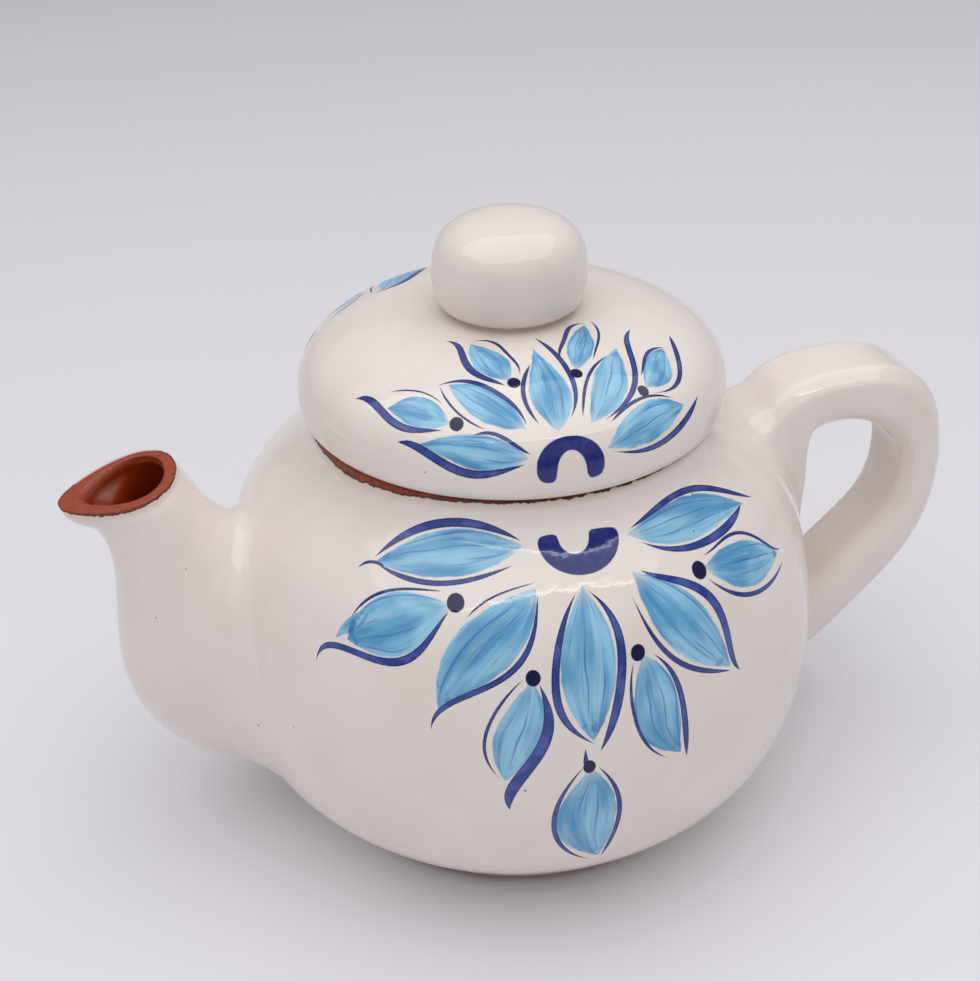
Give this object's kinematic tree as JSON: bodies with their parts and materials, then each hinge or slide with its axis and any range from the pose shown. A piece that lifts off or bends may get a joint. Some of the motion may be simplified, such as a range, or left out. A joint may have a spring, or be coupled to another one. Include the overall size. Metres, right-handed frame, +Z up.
{
  "type": "teapot",
  "caption": "Round-bellied glazed earthenware teapot with a chunky upswept spout, a strap loop handle and a domed lift-off lid with a round knob, for brewing and pouring tea.",
  "frame": {"origin": "middle of the flat foot, on the table, on the axis of the turned pot", "axes": "+Z up the pot's axis, -X towards the spout, +X towards the handle, painted front towards -Y"},
  "size_m": [0.2223, 0.1501, 0.1552],
  "materials": {
    "cream_glaze": "glossy cream-white tin glaze over red terracotta, painted with blue brush petals, bare clay at the spout's mouth, the lid's seat and the foot"
  },
  "bodies": {
    "pot": {"pot_body": "cream_glaze", "spout": "cream_glaze", "handle": "cream_glaze"},
    "lid_with_knob": {"lid": "cream_glaze", "lid_knob": "cream_glaze"}
  },
  "joints": [
    {"name": "lid_lift", "type": "slide", "parent": "pot", "child": "lid_with_knob", "axis": [0, 0, 1], "range_m": [0, 0.08]}
  ]
}
